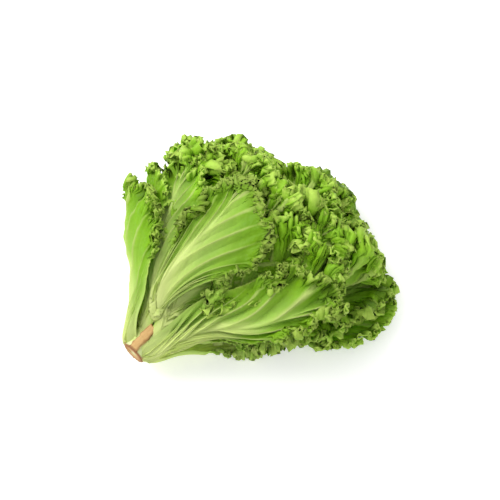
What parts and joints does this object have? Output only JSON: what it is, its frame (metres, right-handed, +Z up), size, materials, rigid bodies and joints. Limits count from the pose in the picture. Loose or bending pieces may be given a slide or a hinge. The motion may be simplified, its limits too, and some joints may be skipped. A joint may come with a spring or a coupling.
{
  "type": "head of lettuce",
  "caption": "Head of green loose-leaf lettuce cut at the stem and lying on its side: a short tapered stem carrying rings of broad leaves that open out like a fan; a salad vegetable.",
  "frame": {"origin": "on the ground, under the middle of the head", "axes": "+X from the cut stem towards the leaf tips, +Y to the left of it, +Z up from the surface the head lies on"},
  "size_m": [0.2494, 0.2564, 0.1105],
  "materials": {
    "leaf": "fresh green leaf, satin, slightly waxy",
    "heart_leaf": "young pale yellow-green leaf, satin",
    "stem": "pale green stem, matt, browned where it was cut"
  },
  "bodies": {
    "root": {"stem": "stem", "outer_leaf_1": "leaf", "outer_leaf_2": "leaf", "outer_leaf_3": "leaf", "outer_leaf_4": "leaf", "outer_leaf_5": "leaf", "second_leaf_1": "leaf", "second_leaf_2": "leaf", "second_leaf_3": "leaf", "second_leaf_4": "leaf", "second_leaf_5": "leaf", "second_leaf_6": "leaf", "third_leaf_1": "leaf", "third_leaf_2": "leaf", "third_leaf_3": "leaf", "third_leaf_4": "leaf", "third_leaf_5": "leaf", "third_leaf_6": "leaf", "fourth_leaf_1": "leaf", "fourth_leaf_2": "leaf", "fourth_leaf_3": "leaf", "fourth_leaf_4": "leaf", "fourth_leaf_5": "leaf", "inner_leaf_1": "leaf", "inner_leaf_2": "leaf", "inner_leaf_3": "leaf", "inner_leaf_4": "leaf", "heart_leaf_1": "heart_leaf", "heart_leaf_2": "heart_leaf", "heart_leaf_3": "heart_leaf"}
  },
  "joints": []
}
